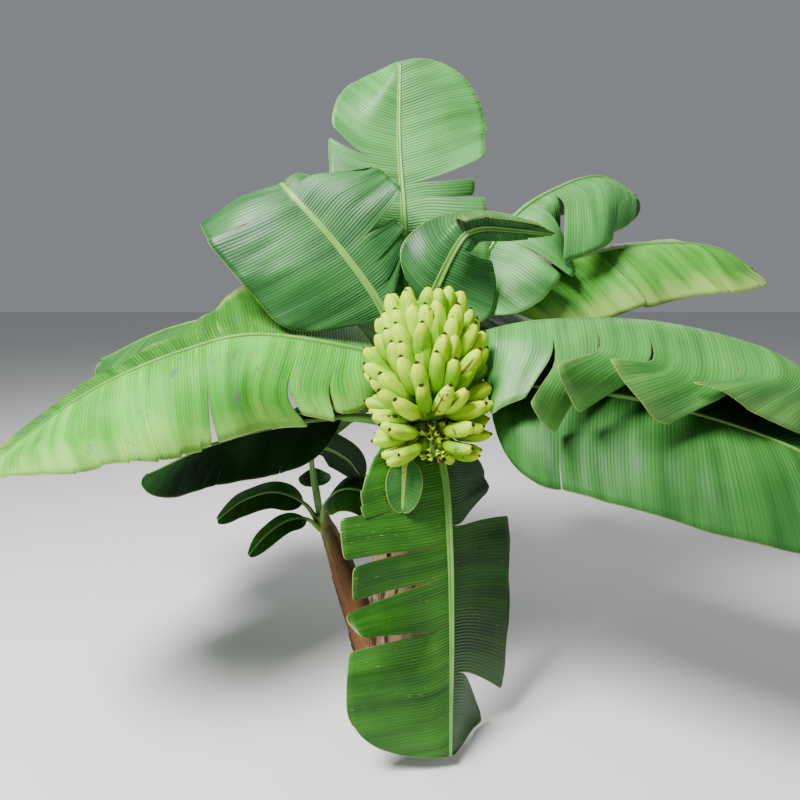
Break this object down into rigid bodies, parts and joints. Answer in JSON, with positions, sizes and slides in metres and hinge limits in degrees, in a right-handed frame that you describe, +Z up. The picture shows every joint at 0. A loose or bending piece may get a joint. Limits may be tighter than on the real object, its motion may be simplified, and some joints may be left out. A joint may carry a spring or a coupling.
{
  "type": "fruiting banana plant",
  "caption": "Rooted banana plant: a tapering pseudostem with broad torn arching leaves on stout stalks, a hanging bunch of green fruit on a curved stalk, and a side sucker.",
  "frame": {"origin": "middle of the flat cut under the pseudostem, at ground level", "axes": "+Z up along the pseudostem, -Y towards the side where the bunch hangs, +X to the right of it"},
  "size_m": [2.2582, 1.5743, 1.996],
  "materials": {
    "pseudostem": "dry brown sheaths over green",
    "stalk": "smooth waxy green",
    "leaf": "satin green with pale vein stripes",
    "fruit": "smooth yellow-green skin with brown scars"
  },
  "bodies": {
    "root": {"pseudostem": "pseudostem", "peduncle": "stalk", "leaf_back_upright_blade": "leaf", "leaf_back_upright_petiole": "stalk", "leaf_upper_left_blade": "leaf", "leaf_upper_left_petiole": "stalk", "leaf_flag_blade": "leaf", "leaf_flag_petiole": "stalk", "leaf_right_high_blade": "leaf", "leaf_right_high_petiole": "stalk", "leaf_right_middle_blade": "leaf", "leaf_right_middle_petiole": "stalk", "leaf_right_broad_blade": "leaf", "leaf_right_broad_petiole": "stalk", "leaf_right_low_blade": "leaf", "leaf_right_low_petiole": "stalk", "leaf_left_broad_blade": "leaf", "leaf_left_broad_petiole": "stalk", "leaf_left_back_blade": "leaf", "leaf_left_back_petiole": "stalk", "leaf_front_blade": "leaf", "leaf_front_petiole": "stalk", "leaf_low_left_blade": "leaf", "leaf_low_left_petiole": "stalk", "leaf_low_back_blade": "leaf", "leaf_low_back_petiole": "stalk", "leaf_back_right_blade": "leaf", "leaf_back_right_petiole": "stalk", "leaf_back_left_blade": "leaf", "leaf_back_left_petiole": "stalk", "sucker_stem": "pseudostem", "bract_leaf": "leaf", "sucker_leaf_upright": "leaf", "sucker_leaf_broad": "leaf", "sucker_leaf_left": "leaf", "sucker_leaf_low": "leaf", "sucker_leaf_back": "leaf", "fruit_hand_1": "fruit", "fruit_hand_2": "fruit", "fruit_hand_3": "fruit", "fruit_hand_4": "fruit", "fruit_hand_5": "fruit", "fruit_hand_6": "fruit", "fruit_hand_7": "fruit", "fruit_hand_8": "fruit"}
  },
  "joints": []
}
